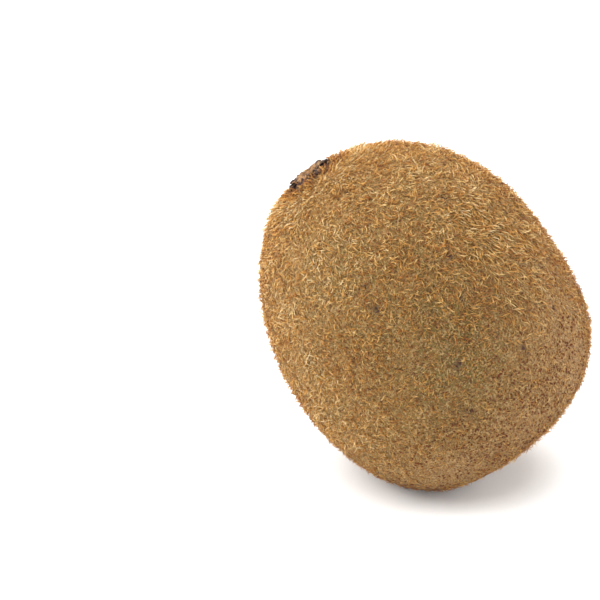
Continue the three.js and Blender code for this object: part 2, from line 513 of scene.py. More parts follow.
@dataclass(frozen=True)
class RussetSkin:
    """Corky kiwi skin: thin dry periderm over green flesh, matted with down, with pores."""

    tan: str = "#8C6A3A"
    olive: str = "#5E5127"
    bare: str = "#85623B"
    pore: str = "#452A15"
    stub: str = "#632F16"
    # Bruises, and the painted shade of the underside near the table
    bruise_and_underside_shade: str = "#4A3830"
    under_fuzz: str = "#B8996A"
    pore_spacing: float = 0.44
    stub_spacing: float = 1.25
    cloud: float = 4.0
    curl: float = 0.8
    grain: float = 0.35
    relief: float = 0.16
    shine: float = 0.2

    def ground(self, tree: bpy.types.NodeTree, where: bpy.types.NodeSocket) -> bpy.types.NodeSocket:
        """Makes the colour under everything: tan clouded with olive, browner where rubbed bare.

        Args:
            tree: the finish's tree.
            where: places on the skin.

        Returns:
            The colour.
        """
        # Cloudy change from tan to olive over a few millimetres, as where the flesh shows through
        cloud = add(
            tree,
            "ShaderNodeTexNoise",
            {"Vector": where, "Scale": 1 / (self.cloud * MM), "Detail": 4.0, "Roughness": 0.6},
        )
        olive = add(tree, "ShaderNodeAttribute", attribute_name=Zone.OLIVE.value).outputs["Fac"]
        lean = add(tree, "ShaderNodeMath", {0: cloud, 1: 1.4, 2: -0.7}, operation="MULTIPLY_ADD")
        green = add(tree, "ShaderNodeMath", {0: olive, 1: lean}, operation="ADD", use_clamp=True)
        colours = {6: linear(self.tan), 7: linear(self.olive)}
        clouded = add(tree, "ShaderNodeMix", {0: green, **colours}, data_type="RGBA").outputs[2]
        bare = add(tree, "ShaderNodeAttribute", attribute_name=Zone.BARE.value).outputs["Fac"]
        colours = {6: clouded, 7: linear(self.bare)}
        return add(tree, "ShaderNodeMix", {0: bare, **colours}, data_type="RGBA").outputs[2]

    def down(self, tree: bpy.types.NodeTree, where: bpy.types.NodeSocket) -> bpy.types.Node:
        """Makes the matted down: two layers of winding strands.

        Args:
            tree: the finish's tree.
            where: places on the skin.

        Returns:
            The node that says where a strand is.
        """
        # Drawn 0.15 mm wide, twice what the strands are, so that they show
        layers = []
        for shift in (0.0, 40.0):
            moved = add(tree, "ShaderNodeMapping", {0: where, 1: (shift * MM, 0, shift * MM)})
            fine = {"Scale": 1 / (self.curl * MM), "Detail": 1.5}
            winding = add(tree, "ShaderNodeTexNoise", {"Vector": moved, **fine})
            off = add(tree, "ShaderNodeMath", {0: winding, 1: 0.5}, operation="SUBTRACT")
            off = add(tree, "ShaderNodeMath", {0: off}, operation="ABSOLUTE")
            edge = {1: 0.008, 2: 0.04, 3: 1.0, 4: 0.0}
            layers.append(add(tree, "ShaderNodeMapRange", {0: off, **edge}))
        return add(tree, "ShaderNodeMath", {0: layers[0], 1: layers[1]}, operation="MAXIMUM")

    def dots(
        self,
        tree: bpy.types.NodeTree,
        where: bpy.types.NodeSocket,
        under: bpy.types.NodeSocket,
    ) -> bpy.types.NodeSocket:
        """Makes the dark pores, and the redder stubs of broken hairs further apart.

        Args:
            tree: the finish's tree.
            where: places on the skin.
            under: the colour that they are on.

        Returns:
            The colour with the dots.
        """
        # Pores 0.1 mm wide, drawn 0.2 mm wide with soft rims so that they show
        for spacing, near, far, depth, colour in (
            (self.pore_spacing, 0.22, 0.42, 0.8, self.pore),
            (self.stub_spacing, 0.1, 0.2, 0.85, self.stub),
        ):
            cells = {"Vector": where, "Scale": 1 / (spacing * MM)}
            pits = add(tree, "ShaderNodeTexVoronoi", cells).outputs["Distance"]
            dots = add(tree, "ShaderNodeMapRange", {0: pits, 1: near, 2: far, 3: depth, 4: 0.0})
            colours = {6: under, 7: linear(colour)}
            under = add(tree, "ShaderNodeMix", {0: dots, **colours}, data_type="RGBA").outputs[2]
        return under

    def material(self) -> bpy.types.Material:
        """Makes the finish: clouded ground, matted down, pores and stubs, bruises and painted
        shade, dry grain.
        """
        made, tree, shader = blank("russet_skin")
        where = add(tree, "ShaderNodeTexCoord").outputs["Object"]
        down = self.down(tree, where)
        matted = add(tree, "ShaderNodeMath", {0: down, 1: 0.7}, operation="MULTIPLY")
        colours = {6: self.ground(tree, where), 7: linear(self.under_fuzz)}
        fuzzy = add(tree, "ShaderNodeMix", {0: matted, **colours}, data_type="RGBA").outputs[2]
        mark = add(tree, "ShaderNodeAttribute", attribute_name=Zone.MARK.value).outputs["Fac"]
        colours = {6: self.dots(tree, where, fuzzy), 7: linear(self.bruise_and_underside_shade)}
        marked = add(tree, "ShaderNodeMix", {0: mark, **colours}, data_type="RGBA").outputs[2]
        # Dry grain of a third of a millimetre, which breaks the light up under the hairs
        fine = {"Scale": 1 / (self.grain * MM), "Detail": 3.0, "Roughness": 0.6}
        rough = add(tree, "ShaderNodeTexNoise", {"Vector": where, **fine})
        raised = add(tree, "ShaderNodeMath", {0: down, 1: 0.8, 2: rough}, operation="MULTIPLY_ADD")
        relief = {"Strength": 0.8, "Distance": self.relief * MM, "Height": raised}
        bump = add(tree, "ShaderNodeBump", relief)
        matt = add(tree, "ShaderNodeMapRange", {0: rough, 3: 0.62, 4: 0.9})
        feed(shader, {"Base Color": marked, "Roughness": matt, "Normal": bump})
        feed(shader, {"Specular IOR Level": self.shine})
        return made


@dataclass(frozen=True)
class DriedHair:
    """Dried kiwi hair: dead, hollow cell strands, straw to red-brown, darker at the root as painted
    shade.
    """

    tints: tuple[tuple[float, str], ...] = (
        (0.0, "#42200C"),
        (0.16, "#7B431D"),
        (0.34, "#AC6E2D"),
        (0.55, "#CF9948"),
        (0.76, "#E1BD7A"),
        (1.0, "#F7E4B8"),
    )
    # Painted shade near the skin, multiplied in from the root to 0.7 of the way up
    root: str = "#967156"
    tip: str = "#FFFFFF"
    sheen: str = "#FFE2B0"
    shine: float = 0.28

    def material(self) -> bpy.types.Material:
        """Makes the finish: one tint to a hair across its map, painted shade from root to tip along
        it.
        """
        made, tree, shader = blank("dried_hair")
        lay = add(tree, "ShaderNodeUVMap", uv_map=MAP)
        parts = add(tree, "ShaderNodeSeparateXYZ", {0: lay}).outputs
        tint = add(tree, "ShaderNodeValToRGB", {0: parts[0]}, self.tints)
        ends = ((0.0, self.root), (0.7, self.tip))
        shade = add(tree, "ShaderNodeValToRGB", {0: parts[1]}, ends)
        colour = add(
            tree,
            "ShaderNodeMix",
            {0: 1.0, 6: tint, 7: shade},
            data_type="RGBA",
            blend_type="MULTIPLY",
        ).outputs[2]
        feed(shader, {"Base Color": colour, "Roughness": 0.5, "Specular IOR Level": self.shine})
        # Dry strands scatter a little straw-coloured light where it grazes them
        sheen = {"Sheen Weight": 0.08, "Sheen Roughness": 0.4, "Sheen Tint": linear(self.sheen)}
        feed(shader, sheen)
        return made


@dataclass(frozen=True)
class DriedCork:
    """Dead cork and dried leaf at the stem end: tan plates, dark fissures, purple-brown rims."""

    name: str
    plate: str
    worn: str
    fissure: str
    crumb: float = 0.4
    shine: float = 0.25

    def material(self) -> bpy.types.Material:
        """Makes the finish: crumbly plates that darken into the fissures between them."""
        made, tree, shader = blank(self.name)
        where = add(tree, "ShaderNodeTexCoord").outputs["Object"]
        depth = add(tree, "ShaderNodeAttribute", attribute_name="fissure").outputs["Fac"]
        crumb = add(
            tree,
            "ShaderNodeTexNoise",
            {"Vector": where, "Scale": 1 / (self.crumb * MM), "Detail": 5.0, "Roughness": 0.65},
        )
        uneven = add(tree, "ShaderNodeMapRange", {0: crumb, 1: 0.35, 2: 0.68})
        plates = add(
            tree,
            "ShaderNodeMix",
            {0: uneven, 6: linear(self.plate), 7: linear(self.worn)},
            data_type="RGBA",
        ).outputs[2]
        cracked = add(
            tree, "ShaderNodeMix", {0: depth, 6: plates, 7: linear(self.fissure)}, data_type="RGBA"
        ).outputs[2]
        bump = add(
            tree, "ShaderNodeBump", {"Strength": 0.7, "Distance": 0.15 * MM, "Height": crumb}
        )
        matt = add(tree, "ShaderNodeMapRange", {0: crumb, 3: 0.7, 4: 0.95})
        feed(shader, {"Base Color": cracked, "Roughness": matt, "Normal": bump})
        feed(shader, {"Specular IOR Level": self.shine})
        return made


@dataclass(frozen=True)
class WhiteAcrylic:
    """Matt white acrylic sheet, lit faintly from below, which keeps the fruit's shadow pale."""

    sheet: str = "#FAFAFA"
    light: str = "#FFFFFF"
    glow: float = 0.04

    def material(self) -> bpy.types.Material:
        """Makes the finish of the floor."""
        made, tree, shader = blank("white_acrylic")
        where = add(tree, "ShaderNodeTexCoord").outputs["Object"]
        # Etched surface, which is a little uneven over 2 mm and mirrors nothing
        etched = add(tree, "ShaderNodeTexNoise", {"Vector": where, "Scale": 1 / (2 * MM)})
        matt = add(tree, "ShaderNodeMapRange", {0: etched, 3: 0.8, 4: 0.9})
        feed(shader, {"Base Color": linear(self.sheet), "Roughness": matt})
        feed(shader, {"Specular IOR Level": 0.1})
        feed(shader, {"Emission Color": linear(self.light), "Emission Strength": self.glow})
        return made


# Where the skin differs: station, degrees round the fruit, radius in millimetres, strength
PATCHES: dict[str, tuple[Patch, ...]] = {
    "green": (
        Patch(-0.12, -62.0, 15.0),
        Patch(-0.1, 60.0, 12.0, 0.7),
        Patch(-0.35, 165.0, 11.0, 0.6),
    ),
    # Golden hair, partly its real colour and partly a painted highlight on the left and top
    "golden": (
        Patch(0.74, -139.0, 10.0),
        Patch(0.9, -70.0, 8.0, 0.8),
        Patch(0.1, -125.0, 12.0, 0.9),
        Patch(0.66, -19.0, 9.0, 0.8),
        Patch(0.35, -125.0, 7.0, 0.6),
        Patch(-0.08, -100.0, 5.0, 0.8),
        Patch(0.1, 110.0, 9.0, 0.6),
    ),
    "red": (
        Patch(0.3, -102.5, 4.0),
        Patch(0.1, -95.0, 5.0, 0.6),
        Patch(0.42, -60.0, 3.0, 0.6),
        Patch(-0.74, -74.0, 10.0),
        Patch(-0.5, 20.0, 6.0, 0.5),
        Patch(0.4, 150.0, 6.0, 0.6),
    ),
    "grey": (
        Patch(0.63, -90.0, 7.0),
        Patch(0.5, -112.0, 8.0, 0.7),
        Patch(0.1, -122.0, 9.0, 0.9),
        Patch(-0.25, -118.0, 8.0, 0.6),
        Patch(0.4, -24.0, 11.0, 0.6),
        Patch(0.5, 80.0, 6.0, 0.7),
    ),
    "ruffled": (Patch(0.98, -80.0, 3.4),),
    "combed": (
        Patch(0.3, -22.0, 13.0),
        Patch(-0.25, -14.0, 12.0),
        Patch(0.1, -40.0, 8.0, 0.6),
    ),
    "swollen": (Patch(-0.88, -129.0, 9.0),),
    "bald": (
        Patch(-0.42, -22.0, 11.0),
        Patch(-0.72, -58.0, 8.0, 0.9),
        Patch(-0.74, -20.0, 8.0, 0.6),
        Patch(-0.74, -100.0, 8.0, 0.8),
        Patch(-0.5, 130.0, 9.0, 0.6),
    ),
    "mark": (
        Patch(0.330, -43.3, 0.88),
        Patch(-0.165, -64.7, 0.8, 0.9),
        Patch(-0.338, -40.0, 0.55),
        Patch(-0.379, -39.7, 0.5, 0.9),
        Patch(-0.305, -17.0, 0.64, 0.8),
        Patch(0.552, -24.7, 0.72, 0.8),
        Patch(0.469, -78.0, 0.64, 0.7),
        Patch(0.868, -55.0, 0.64, 0.7),
        Patch(0.342, -79.2, 1.04, 0.8),
        Patch(-0.450, -72.0, 0.96, 0.5),
        Patch(0.2, 35.0, 0.88, 0.9),
        Patch(-0.2, 95.0, 0.8, 0.9),
        Patch(0.5, 125.0, 0.72, 0.8),
        Patch(0.05, 172.0, 0.88, 0.8),
    ),
}


@dataclass
class Skin:
    """The fruit's skin under the hair, with its puckers, blemishes and zones."""

    form: FruitForm
    finish: RussetSkin = field(default_factory=RussetSkin)
    rings: int = 158
    around: int = 280
    pucker: float = 0.16
    puckers: int = 15
    ripple: float = 0.1
    pad_seat: float = 0.7
    ripple_size: float = 3.5
    swelling: float = 0.45
    # Rings round the two ends: distance from the axis, and width
    pucker_ring: tuple[float, float] = (8.5, 2.6)
    collar: tuple[float, float] = (9.0, 3.5)
    ring: tuple[float, float] = (5.4, 1.0)
    swept_stem: tuple[float, float] = (10.0, 6.0)
    swept_blossom: tuple[float, float] = (2.0, 5.0)
    # Distances from the axis between which the button, its seat and the bare ends give way
    button: tuple[float, float] = (4.0, 6.0)
    pad_edge: tuple[float, float] = (3.6, 4.8)
    bare_stem: tuple[float, float] = (3.7, 4.7)
    bare_blossom: tuple[float, float] = (1.6, 2.6)
    smooth_end: tuple[float, float] = (4.0, 8.0)
    # Heights above the table between which wear, painted shade and the pressed spot give way
    worn: tuple[float, float] = (3.0, 20.0)
    under: tuple[float, float] = (1.0, 8.0)
    pressed: tuple[float, float] = (0.02, 0.7)
    patches: dict[str, tuple[Patch, ...]] = field(default_factory=lambda: PATCHES)

    def zones(self, station: np.ndarray, places: np.ndarray) -> dict[str, np.ndarray]:
        """Works out what the skin is like at each point.

        Args:
            station: where each point is along the fruit.
            places: the points.

        Returns:
            For each zone's name, one value for each point.
        """
        form = self.form
        height = places[:, 2]
        away = form.share(station) * form.half_width
        stem = np.where(station > 0, away, form.half_width)
        blossom = np.where(station < 0, away, form.half_width)
        there = {name: total(patches, form, places) for name, patches in self.patches.items()}
        there["mark"] = there["mark"] * (0.75 + 0.5 * grain(places, 0.9, 3.0))
        there |= {
            "collar": hump(stem, *self.collar),
            "ring": hump(stem, *self.ring),
            "swept_stem": hump(stem, *self.swept_stem),
            "swept_blossom": hump(blossom, *self.swept_blossom),
            "button": 1 - smooth_step(stem, *self.button),
            "worn": 1 - smooth_step(height, *self.worn),
            "under": 1 - smooth_step(height, *self.under),
            "cloud": grain(places, 7.0),
            "tuft": grain(places, 2.2, 31.0),
        }
        off_ends = smooth_step(stem, *self.bare_stem) * smooth_step(blossom, *self.bare_blossom)
        off_table = smooth_step(height, *self.pressed)
        thin = np.ones(len(places))
        for name, weight in THINNER.items():
            thin = thin * (1 + weight * there[name])
        fuzz = np.clip(off_ends * off_table * thin * THICKER.value(there), 0, 2)
        found = {Zone.STATION: station, Zone.FUZZ: fuzz}
        return found | {zone: blend.value(there) for zone, blend in BLENDS.items()}

    def build(self) -> bpy.types.Object:
        """Makes the closed skin, pressed flat where it rests.

        Returns:
            The piece.
        """
        form = self.form
        stations = form.stations(self.rings)
        angles = np.linspace(0, 2 * math.pi, self.around, endpoint=False)
        station, angle = np.meshgrid(stations, angles, indexing="ij")
        rings = form.surface(station, angle)
        away = form.share(station) * form.half_width
        outwards = rings - form.place(0 * away, 0.6 * form.along(station), 0 * away)
        outwards /= np.linalg.norm(outwards, axis=-1, keepdims=True)
        folds = np.cos(self.puckers * angle + 2.5 * grain(rings, 9.0))
        folds = self.pucker * folds * hump(away, *self.pucker_ring)
        ripples = self.ripple * grain(rings, self.ripple_size)
        relief = folds + ripples * smooth_step(away, *self.smooth_end)
        stem = np.where(station > 0, away, form.half_width)
        relief = relief - self.pad_seat * (1 - smooth_step(stem, *self.pad_edge))
        relief = relief + self.swelling * total(self.patches["swollen"], form, rings)
        rings = rings + relief[..., None] * outwards
        places, faces = capped(rings)
        places[:, 2] = np.maximum(places[:, 2], 0)
        station = np.append(station.ravel(), [-1.0, 1.0])
        shell = Shell()
        shell.extend(places, faces, **{z.value: v for z, v in self.zones(station, places).items()})
        return shell.piece("skin")

    def unroll(self, piece: bpy.types.Object) -> None:
        """Gives the skin its own map: round the fruit across it, along the fruit up it.

        Args:
            piece: the skin.
        """
        mesh = piece.data
        corners = np.empty(len(mesh.loops), np.int32)
        mesh.loops.foreach_get("vertex_index", corners)
        face = np.repeat(np.arange(len(mesh.polygons)), [p.loop_total for p in mesh.polygons])
        last = self.rings * self.around
        ring = np.where(corners < last, corners // self.around, -1)
        ring = np.where(corners == last + 1, self.rings, ring)
        turn = (corners % self.around).astype(float)
        pole = corners >= last
        low = np.full(len(mesh.polygons), np.inf)
        high = np.full(len(mesh.polygons), -np.inf)
        np.minimum.at(low, face[~pole], turn[~pole])
        np.maximum.at(high, face[~pole], turn[~pole])
        wraps = (high - low > self.around / 2)[face]
        turn = np.where(wraps & (turn < self.around / 2) & ~pole, turn + self.around, turn)
        middle = np.where(high - low > self.around / 2, self.around - 0.5, (low + high) / 2)
        turn = np.where(pole, middle[face], turn)
        layer = mesh.uv_layers.new(name=MAP)
        uv = np.stack([turn / self.around, (ring + 1) / (self.rings + 1)], -1)
        layer.data.foreach_set("uv", uv.astype(np.float32).ravel())

    def dress(self, piece: bpy.types.Object) -> None:
        """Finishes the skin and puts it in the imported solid's place."""
        kept = (Zone.OLIVE, Zone.MARK, Zone.BARE)
        strip(piece.data, [z.value for z in Zone if z not in kept])
        self.unroll(piece)
        ride(piece, self.finish.material())
        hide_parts("kiwi_fruit")


@dataclass(frozen=True)
class Strand:
    """One hair to copy, as tall as 1, that bends through its middle points, +Y off the skin."""

    name: str
    bends: tuple[tuple[float, float, float], ...]
    tip: tuple[float, float, float]
    radius: float
    taper: float = 0.4
    root: float = -0.12

    def build(self) -> bpy.types.Object:
        """Makes the strand: a closed, three-sided needle with a point at each end.

        Returns:
            The object to copy.
        """
        corners = [(0.0, 0.0, self.root)]
        along, side = [0.0], [0.0]
        for x, y, z in self.bends:
            girth = self.radius * (1 - self.taper * z)
            for turn in range(3):
                angle = 2 * math.pi * turn / 3
                corners.append((x + girth * math.cos(angle), y + girth * math.sin(angle), z))
                along.append(z / self.tip[2])
                side.append(turn - 1.0)
        corners.append(self.tip)
        along.append(1.0)
        side.append(0.0)
        faces: list[tuple[int, ...]] = [(0, 2, 1), (0, 3, 2), (0, 1, 3)]
        for ring in range(1, len(self.bends)):
            start = 3 * ring - 2
            for i in range(3):
                a, b = start + i, start + (i + 1) % 3
                faces += [(a, b, b + 3), (a, b + 3, a + 3)]
        end = len(corners) - 1
        faces += [(end - 3, end - 2, end), (end - 2, end - 1, end), (end - 1, end - 3, end)]
        mesh = bpy.data.meshes.new(self.name)
        mesh.from_pydata(corners, [], faces)
        for name, values in (("along", along), ("side", side)):
            mesh.attributes.new(name, "FLOAT", "POINT").data.foreach_set("value", values)
        return bpy.data.objects.new(self.name, mesh)


class Band(Enum):
    """Stretches of the coat, each a piece of its own, by the stations that they lie between."""

    BLOSSOM_END = (-1.01, -0.74)
    BLOSSOM_SHOULDER = (-0.74, -0.4)
    LOWER_WAIST = (-0.4, -0.06)
    UPPER_WAIST = (-0.06, 0.28)
    STEM_SHOULDER = (0.28, 0.62)
    STEM_END = (0.62, 1.01)


@dataclass
class HairTree:
    """Geometry Nodes that sow, tint, aim, copy, press and map the hairs of a skin."""

    inputs: dict[str, Any]
    material: bpy.types.Material
    tree: bpy.types.NodeTree = field(init=False)
    given: Any = field(init=False)
    read: dict[str, bpy.types.Node] = field(init=False)
    chance: list[bpy.types.NodeSocket] = field(init=False)

    def __post_init__(self) -> None:
        """Starts the tree: inputs, what skin and strands hold, and five draws for each hair."""
        self.tree = tree = bpy.data.node_groups.new("hair_coat", "GeometryNodeTree")
        kinds = {float: "Float", int: "Int", tuple: "Vector", type(None): "Collection"}
        sockets = [("Geometry", "INPUT", "Geometry")]
        sockets += [(name, "INPUT", kinds[type(value)]) for name, value in self.inputs.items()]
        sockets += [("Geometry", "OUTPUT", "Geometry")]
        for name, way, kind in sockets:
            tree.interface.new_socket(name, in_out=way, socket_type=f"NodeSocket{kind}")
        self.given = tree.nodes.new("NodeGroupInput").outputs
        self.read = {
            name: add(tree, "GeometryNodeInputNamedAttribute", {"Name": name}, data_type="FLOAT")
            for name in [*(z.value for z in Zone), *STRAND_VALUES]
        }
        self.chance = []
        for salt in range(5):
            draw = {2: -1.0, 3: 1.0, "Seed": salt}
            node = add(tree, "FunctionNodeRandomValue", draw, data_type="FLOAT")
            self.chance.append(node.outputs[1])

    def sow(self) -> bpy.types.NodeOutputs:
        """Spreads roots over the stretch of skin between the two stations.

        Returns:
            The points and the skin's normal at each.
        """
        tree, given, read = self.tree, self.given, self.read
        above, below = (
            add(tree, "FunctionNodeCompare", {0: read["station"], 1: given[end]}, operation=test)
            for end, test in (("From", "GREATER_EQUAL"), ("To", "LESS_THAN"))
        )
        within = add(tree, "FunctionNodeBooleanMath", {0: above, 1: below}, operation="AND")
        amounts = {0: given["Density"], 1: read["fuzz"]}
        density = add(tree, "ShaderNodeMath", amounts, operation="MULTIPLY")
        return add(
            tree,
            "GeometryNodeDistributePointsOnFaces",
            {
                "Mesh": given["Geometry"],
                "Selection": within,
                "Density": density,
                "Seed": given["Seed"],
            },
            distribute_method="RANDOM",
        ).outputs

    def pick(self) -> tuple[bpy.types.NodeSocket, bpy.types.Node]:
        """Draws each root's strand: the first kinds are down, the rest long strands.

        Returns:
            The strand's number, and the node that says whether it is a long one.
        """
        tree, given = self.tree, self.given
        last = add(tree, "ShaderNodeMath", {0: given["Kinds"], 1: 1.0}, operation="SUBTRACT")
        draw = {4: 0, 5: last, "Seed": 9}
        kind = add(tree, "FunctionNodeRandomValue", draw, data_type="INT").outputs[2]
        ask = {"operation": "GREATER_EQUAL", "data_type": "INT"}
        is_long = add(tree, "FunctionNodeCompare", {2: kind, 3: given["Down Kinds"]}, **ask)
        return kind, is_long

    def tint(self, roots: bpy.types.NodeOutputs, is_long: bpy.types.Node) -> bpy.types.Node:
        """Gives each hair a tint near the skin's, and sinks its root.

        Args:
            roots: what sow returned.
            is_long: whether the hair is a long one.

        Returns:
            The points.
        """
        tree, given = self.tree, self.given
        extra = add(tree, "ShaderNodeMapRange", {0: is_long, 3: given["Down Tint"], 4: 0.0})
        tint = add(tree, "ShaderNodeMath", {0: self.read["tint"], 1: extra}, operation="ADD")
        ends = {3: given["Down Spread"], 4: given["Tint Spread"]}
        spread = add(tree, "ShaderNodeMapRange", {0: is_long, **ends})
        stray = {0: spread, 1: self.chance[0], 2: tint}
        tint = add(tree, "ShaderNodeMath", stray, operation="MULTIPLY_ADD")
        tinted = add(
            tree,
            "GeometryNodeStoreNamedAttribute",
            {"Geometry": roots["Points"], "Name": "hair_tint", "Value": tint},
            data_type="FLOAT",
            domain="POINT",
        )
        depth = add(tree, "ShaderNodeMath", {0: given["Root Depth"], 1: -1.0}, operation="MULTIPLY")
        feeds = {0: roots["Normal"], "Scale": depth}
        inwards = add(tree, "ShaderNodeVectorMath", feeds, operation="SCALE")
        return add(tree, "GeometryNodeSetPosition", {"Geometry": tinted, "Offset": inwards})

    def lay(self, normal: bpy.types.NodeSocket) -> bpy.types.Node:
        """Finds the way over the skin that each hair lies.

        The hairs of a patch lie roughly one way, which turns slowly over the skin; where they are
        combed they lie from the stem end to the blossom end.

        Args:
            normal: the skin's.

        Returns:
            The way, as long as 1.
        """
        tree, given = self.tree, self.given
        feeds = {0: normal, 1: given["Stem Way"]}
        rise = add(tree, "ShaderNodeVectorMath", feeds, operation="DOT_PRODUCT").outputs[1]
        upright = add(tree, "ShaderNodeVectorMath", {0: normal, "Scale": rise}, operation="SCALE")
        feeds = {0: upright, 1: given["Stem Way"]}
        down = add(tree, "ShaderNodeVectorMath", feeds, operation="SUBTRACT")
        feeds = {0: 1.0, 1: given["Swirl Size"]}
        fineness = add(tree, "ShaderNodeMath", feeds, operation="DIVIDE")
        place = add(tree, "GeometryNodeInputPosition")
        feeds = {"Vector": place, "Scale": fineness, "Detail": 1.0}
        swirl = add(tree, "ShaderNodeTexNoise", feeds)
        swirl = add(tree, "ShaderNodeMapRange", {0: swirl, 3: -3 * math.pi, 4: 3 * math.pi})
        feeds = {0: given["Stray"], 1: self.chance[1], 2: swirl}
        loose = add(tree, "ShaderNodeMath", feeds, operation="MULTIPLY_ADD")
        feeds = {0: given["Comb Stray"], 1: self.chance[1]}
        combed = add(tree, "ShaderNodeMath", feeds, operation="MULTIPLY")
        spin = add(tree, "ShaderNodeMix", {0: self.read["comb"], 2: loose, 3: combed})
        feeds = {"Vector": down, "Axis": normal, "Angle": spin}
        lay = add(tree, "ShaderNodeVectorRotate", feeds)
        return add(tree, "ShaderNodeVectorMath", {0: lay}, operation="NORMALIZE")

    def aim(self, normal: bpy.types.NodeSocket, is_long: bpy.types.Node) -> bpy.types.Node:
        """Turns each hair along its lay, tilted off the skin and rolled a little.

        Args:
            normal: the skin's.
            is_long: whether the hair is a long one.

        Returns:
            The rotation.
        """
        tree, given = self.tree, self.given
        ends = {3: given["Least Tilt"], 4: given["Wisp Tilt"]}
        least = add(tree, "ShaderNodeMapRange", {0: is_long, **ends})
        feeds = {0: self.read["rise"], 1: given["Rise By"], 2: least}
        least = add(tree, "ShaderNodeMath", feeds, operation="MULTIPLY_ADD")
        feeds = {0: self.chance[2], 1: -1.0, 3: least, 4: given["Most Tilt"]}
        tilt = add(tree, "ShaderNodeMapRange", feeds)
        level = add(tree, "ShaderNodeMath", {0: tilt}, operation="SINE")
        steep = add(tree, "ShaderNodeMath", {0: tilt}, operation="COSINE")
        raised = add(tree, "ShaderNodeVectorMath", {0: normal, "Scale": steep}, operation="SCALE")
        feeds = {0: self.lay(normal), 1: level, 2: raised}
        way = add(tree, "ShaderNodeVectorMath", feeds, operation="MULTIPLY_ADD")
        aimed = add(tree, "FunctionNodeAlignRotationToVector", {"Vector": way}, axis="Z")
        feeds = {"Rotation": aimed, "Vector": normal}
        axes = {"axis": "Y", "pivot_axis": "Z"}
        turned = add(tree, "FunctionNodeAlignRotationToVector", feeds, **axes)
        feeds = {0: given["Roll"], 1: self.chance[3]}
        roll = add(tree, "ShaderNodeMath", feeds, operation="MULTIPLY")
        about = add(tree, "ShaderNodeCombineXYZ", {2: roll})
        rolled = add(tree, "FunctionNodeEulerToRotation", {0: about})
        feeds = {"Rotation": turned, "Rotate By": rolled}
        return add(tree, "FunctionNodeRotateRotation", feeds, rotation_space="LOCAL")

    def size(self, is_long: bpy.types.Node) -> bpy.types.Node:
        """Works out each hair's length: its sort's, as it varies, by the skin's reach.

        Args:
            is_long: whether the hair is a long one.

        Returns:
            The length.
        """
        tree, given = self.tree, self.given
        ends = {3: given["Down Length"], 4: given["Length"]}
        length = add(tree, "ShaderNodeMapRange", {0: is_long, **ends})
        ends = {3: given["Shortest"], 4: given["Longest"]}
        share = add(tree, "ShaderNodeMapRange", {0: self.chance[4], 1: -1.0, **ends})
        feeds = {0: share, 1: self.read["reach"]}
        share = add(tree, "ShaderNodeMath", feeds, operation="MULTIPLY")
        return add(tree, "ShaderNodeMath", {0: length, 1: share}, operation="MULTIPLY")

    def press(self, hairs: bpy.types.Node) -> bpy.types.Node:
        """Presses hairs that would reach under the table flat on it.

        Args:
            hairs: the copied hairs.

        Returns:
            The pressed hairs.
        """
        tree = self.tree
        place = add(tree, "GeometryNodeInputPosition")
        apart = add(tree, "ShaderNodeSeparateXYZ", {0: place}).outputs
        feeds = {0: apart[2], 1: self.given["Floor Gap"]}
        height = add(tree, "ShaderNodeMath", feeds, operation="MAXIMUM")
        lifted = add(tree, "ShaderNodeCombineXYZ", {0: apart[0], 1: apart[1], 2: height})
        return add(tree, "GeometryNodeSetPosition", {"Geometry": hairs, "Position": lifted})

    def unroll(self, hairs: bpy.types.Node) -> bpy.types.Node:
        """Gives the hairs their map: one tint to a hair across it, root to tip up it.

        Args:
            hairs: the pressed hairs.

        Returns:
            The mapped hairs.
        """
        tree, read = self.tree, self.read
        feeds = {0: read["side"], 1: 0.006, 2: read["hair_tint"]}
        across = add(tree, "ShaderNodeMath", feeds, operation="MULTIPLY_ADD")
        inside = add(tree, "ShaderNodeMapRange", {0: across, 3: 0.02, 4: 0.98})
        up = add(tree, "ShaderNodeMapRange", {0: read["along"], 3: 0.05, 4: 0.95})
        spot = add(tree, "ShaderNodeCombineXYZ", {0: inside, 1: up})
        return add(
            tree,
            "GeometryNodeStoreNamedAttribute",
            {"Geometry": hairs, "Name": MAP, "Value": spot},
            data_type="FLOAT2",
            domain="CORNER",
        )

    def build(self) -> bpy.types.NodeTree:
        """Builds the tree.

        Returns:
            The tree.
        """
        tree = self.tree
        roots = self.sow()
        kind, is_long = self.pick()
        choice = {"Separate Children": True, "Reset Children": True}
        feeds = {"Collection": self.given["Strands"], **choice}
        kinds = add(tree, "GeometryNodeCollectionInfo", feeds)
        copied = add(
            tree,
            "GeometryNodeInstanceOnPoints",
            {
                "Points": self.tint(roots, is_long),
                "Instance": kinds,
                "Pick Instance": True,
                "Instance Index": kind,
                "Rotation": self.aim(roots["Normal"], is_long),
                "Scale": self.size(is_long),
            },
        )
        real = add(tree, "GeometryNodeRealizeInstances", {"Geometry": copied})
        hairs = self.unroll(self.press(real))
        feeds = {"Geometry": hairs, "Material": self.material}
        dressed = add(tree, "GeometryNodeSetMaterial", feeds)
        add(tree, "NodeGroupOutput", {"Geometry": dressed})
        return tree


